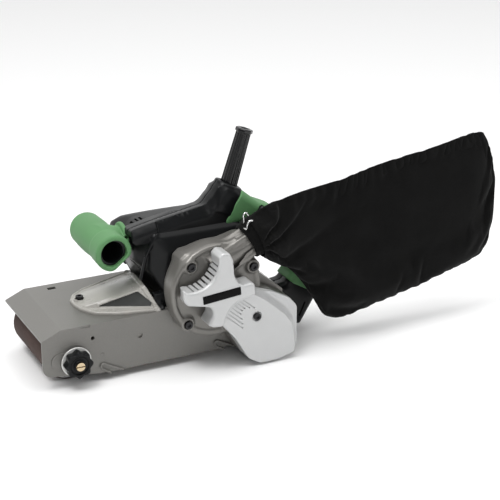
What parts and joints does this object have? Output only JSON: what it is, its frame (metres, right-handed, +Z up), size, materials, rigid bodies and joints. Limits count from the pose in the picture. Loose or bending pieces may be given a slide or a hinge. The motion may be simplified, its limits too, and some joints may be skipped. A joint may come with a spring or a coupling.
{
  "type": "handheld belt sander",
  "caption": "Handheld belt sander with a transverse motor, side belt drive, lateral front grip, D-shaped rear grip and a cloth dust bag.",
  "frame": {"origin": "centre of the flat sanding face, midway between the two roller axles and across the sanding belt", "axes": "+X to the rear towards the dust bag, +Y to the open side where the sanding belt comes off, +Z up"},
  "size_m": [0.5548, 0.1737, 0.2525],
  "materials": {
    "painted_sheet": "satin grey paint on folded steel sheet",
    "cast_grey": "warm grey painted die casting",
    "silver_plastic": "silver metallic moulded plastic",
    "black_plastic": "black moulded plastic, fine texture",
    "green_rubber": "green soft moulded rubber",
    "black_rubber": "black rubber",
    "abrasive": "brown abrasive grit on cloth",
    "cork": "pressed cork",
    "steel": "bright machined steel",
    "dark_steel": "black oxide steel",
    "chrome_wire": "bright plated wire",
    "machined_aluminium": "machined aluminium",
    "brass": "turned brass",
    "copper": "enamelled copper wire",
    "carbon": "pressed carbon",
    "clear_plastic": "clear moulded plastic, slightly warm",
    "black_label": "blank black label",
    "bag_cloth": "black woven cloth",
    "pale_washer": "pale grey plastic"
  },
  "bodies": {
    "machine": {"side_cover": "painted_sheet", "base_frame": "cast_grey", "sanding_belt": "abrasive", "shoe_plate": "steel", "cork_pad": "cork", "wear_plate": "steel", "plate_fittings": "dark_steel", "duct_cover": "clear_plastic", "cover_screws": "dark_steel", "lever_pivot": "steel", "drive_bearings": "steel", "ribbed_belt": "black_rubber", "gear_bearings": "steel", "stator": "steel", "field_windings": "copper", "brush_holders": "brass", "carbon_brushes": "carbon", "motor_bearings": "steel", "gear_case": "cast_grey", "bearing_plate": "machined_aluminium", "belt_cover": "silver_plastic", "cover_label": "black_label", "motor_housing": "black_plastic", "motor_end_cover": "black_plastic", "end_cover_screws": "dark_steel", "handle_near_shell": "black_plastic", "handle_far_shell": "black_plastic", "rear_grip": "green_rubber", "trigger_pin": "steel", "switch_body": "black_plastic", "trigger_spring": "steel", "cord_guard": "black_rubber", "front_grip": "green_rubber", "front_grip_core": "black_plastic"},
    "drive": {"drive_roller": "machined_aluminium", "drive_shaft": "steel", "driven_pulley": "machined_aluminium", "pulley_nut": "steel"},
    "idler_carrier": {"idler_yoke": "cast_grey", "idler_axle": "steel", "tension_spring": "steel"},
    "idler": {"idler_roller": "machined_aluminium", "idler_bearings": "steel"},
    "knob": {"tracking_knob": "black_plastic", "knob_insert": "brass", "knob_washer": "pale_washer"},
    "lever": {"tension_lever": "dark_steel"},
    "gears": {"gear_shaft": "steel", "reduction_gear": "steel", "small_pulley": "machined_aluminium"},
    "rotor": {"rotor_shaft": "steel", "pinion": "steel", "rotor_core": "steel", "commutator": "copper", "dust_fan": "machined_aluminium"},
    "trigger_body": {"trigger": "black_plastic"},
    "lock": {"lock_button": "black_plastic"},
    "bag": {"dust_bag": "bag_cloth", "bag_collar": "bag_cloth", "wire_clip": "chrome_wire"}
  },
  "joints": [
    {"name": "drive_roller_spin", "type": "hinge", "parent": "machine", "child": "drive", "pos_m": [0.1065, 0, 0.0299], "axis": [0, 1, 0], "continuous": true},
    {"name": "tension_lever_swing", "type": "hinge", "parent": "machine", "child": "lever", "pos_m": [-0.03, 0.049, 0.03], "axis": [0, 0, 1], "range_deg": [0, 80]},
    {"name": "idler_slide", "type": "slide", "parent": "machine", "child": "idler_carrier", "axis": [1, 0, 0], "range_m": [0, 0.008]},
    {"name": "idler_roller_spin", "type": "hinge", "parent": "idler_carrier", "child": "idler", "pos_m": [-0.1065, 0, 0.0299], "axis": [0, 1, 0], "continuous": true},
    {"name": "tracking_knob_turn", "type": "hinge", "parent": "idler_carrier", "child": "knob", "pos_m": [-0.1065, -0.08, 0.0299], "axis": [0, 1, 0], "range_deg": [-180, 180]},
    {"name": "gear_shaft_spin", "type": "hinge", "parent": "machine", "child": "gears", "pos_m": [0.052, -0.08, 0.084], "axis": [0, 1, 0], "continuous": true},
    {"name": "motor_spin", "type": "hinge", "parent": "machine", "child": "rotor", "pos_m": [0.052, 0, 0.108], "axis": [0, 1, 0], "continuous": true},
    {"name": "trigger_pull", "type": "hinge", "parent": "machine", "child": "trigger_body", "pos_m": [0.112, -0.034, 0.141], "axis": [0, -1, 0], "range_deg": [0, 8], "stiffness_Nm_per_rad": 0.4, "springref_deg": -11.46, "deforming": ["trigger_spring"]},
    {"name": "lock_button_press", "type": "slide", "parent": "machine", "child": "lock", "axis": [0, 1, 0], "range_m": [0, 0.003], "stiffness_N_per_m": 300, "springref_m": -0.002},
    {"name": "dust_bag_pull", "type": "slide", "parent": "machine", "child": "bag", "axis": [0.891, 0, 0.454], "range_m": [0, 0.03]}
  ],
  "couplings": [
    {"joint": "idler_slide", "follows": "tension_lever_swing", "m_per_rad": 0.0057},
    {"joint": "idler_roller_spin", "follows": "drive_roller_spin", "ratio": 1},
    {"joint": "gear_shaft_spin", "follows": "drive_roller_spin", "ratio": 1.8333},
    {"joint": "motor_spin", "follows": "drive_roller_spin", "ratio": -5.5}
  ]
}
